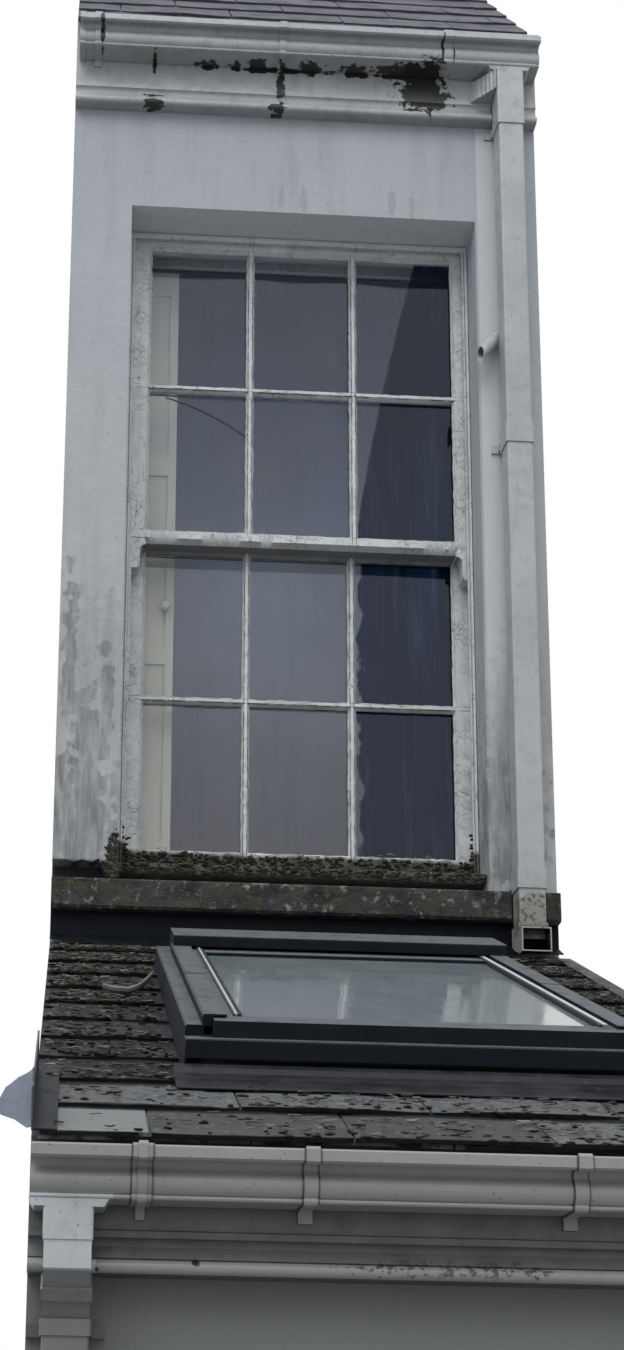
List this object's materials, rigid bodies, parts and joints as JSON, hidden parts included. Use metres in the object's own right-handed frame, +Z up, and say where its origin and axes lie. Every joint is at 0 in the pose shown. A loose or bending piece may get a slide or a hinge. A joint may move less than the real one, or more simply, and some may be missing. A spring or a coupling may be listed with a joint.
{
  "type": "sash window bay of a terrace house with a slated lean-to and roof window",
  "caption": "Rendered house bay from the ground up: six over six sash window, moulded eaves and gutters, square downpipes, and a slated lean-to with a roof window",
  "frame": {"origin": "middle of the foot of the window wall, on the ground, at the centre of the ground mount", "axes": "+X runs to the right seen from the front, -Y points out of the front, +Z is up"},
  "size_m": [1.276, 3.3239, 6.2894],
  "materials": {
    "painted_render": "painted sand and cement render, streaked and damp at the foot",
    "plain_render": "plain cement render",
    "concrete": "floated concrete",
    "floor_timber": "sawn boards and joists",
    "old_paint": "timber under old cracked white paint",
    "mossy_paint": "painted timber with moss and lichen",
    "window_glass": "clear old sheet glass, slightly wavy",
    "inner_paint": "satin white paint",
    "lichen_stone": "rendered sill course, dark with lichen",
    "dark_lead": "blackened lead",
    "lead": "dull grey lead",
    "white_plastic": "weathered white plastic with dirt streaks",
    "roof_timber": "sawn rafters and boards",
    "slate": "riven slate with moss and lichen",
    "ridge_clay": "dull weathered ridge tile",
    "pine": "lacquered pine",
    "grey_cover": "grey coated aluminium, dusty",
    "roof_glass": "sealed double glazing"
  },
  "bodies": {
    "root": {"window_wall": "painted_render", "left_party_wall": "plain_render", "right_party_wall": "plain_render", "back_wall": "plain_render", "ground_floor": "concrete", "upper_floor": "floor_timber", "lean_to_front_wall": "painted_render", "lean_to_left_wall": "plain_render", "lean_to_right_wall": "plain_render", "window_frame": "old_paint", "timber_sill": "mossy_paint", "upper_sash": "old_paint", "lower_sash": "old_paint", "sash_glass": "window_glass", "window_board": "inner_paint", "left_shutter": "inner_paint", "right_shutter": "inner_paint", "sill_course": "lichen_stone", "abutment_flashing": "dark_lead", "overflow_pipe": "white_plastic", "upper_roof": "roof_timber", "upper_slates": "slate", "ridge": "ridge_clay", "upper_fascia": "white_plastic", "rear_fascia": "white_plastic", "upper_gutter": "white_plastic", "upper_gutter_brackets": "white_plastic", "upper_gutter_outlet": "white_plastic", "eaves_corner": "white_plastic", "upper_downpipe": "white_plastic", "downpipe_shoe": "white_plastic", "downpipe_clips": "white_plastic", "lean_to_roof": "roof_timber", "lean_to_slates": "slate", "roof_window_frame": "pine", "roof_window_covers": "grey_cover", "roof_window_hood": "grey_cover", "roof_window_sash": "grey_cover", "roof_window_glass": "roof_glass", "roof_window_apron": "lead", "left_flashing": "lead", "right_flashing": "lead", "lower_fascia": "white_plastic", "lower_gutter": "white_plastic", "lower_gutter_brackets": "white_plastic", "lower_gutter_outlet": "white_plastic", "lower_swan_neck": "white_plastic", "lower_downpipe": "white_plastic"}
  },
  "joints": []
}
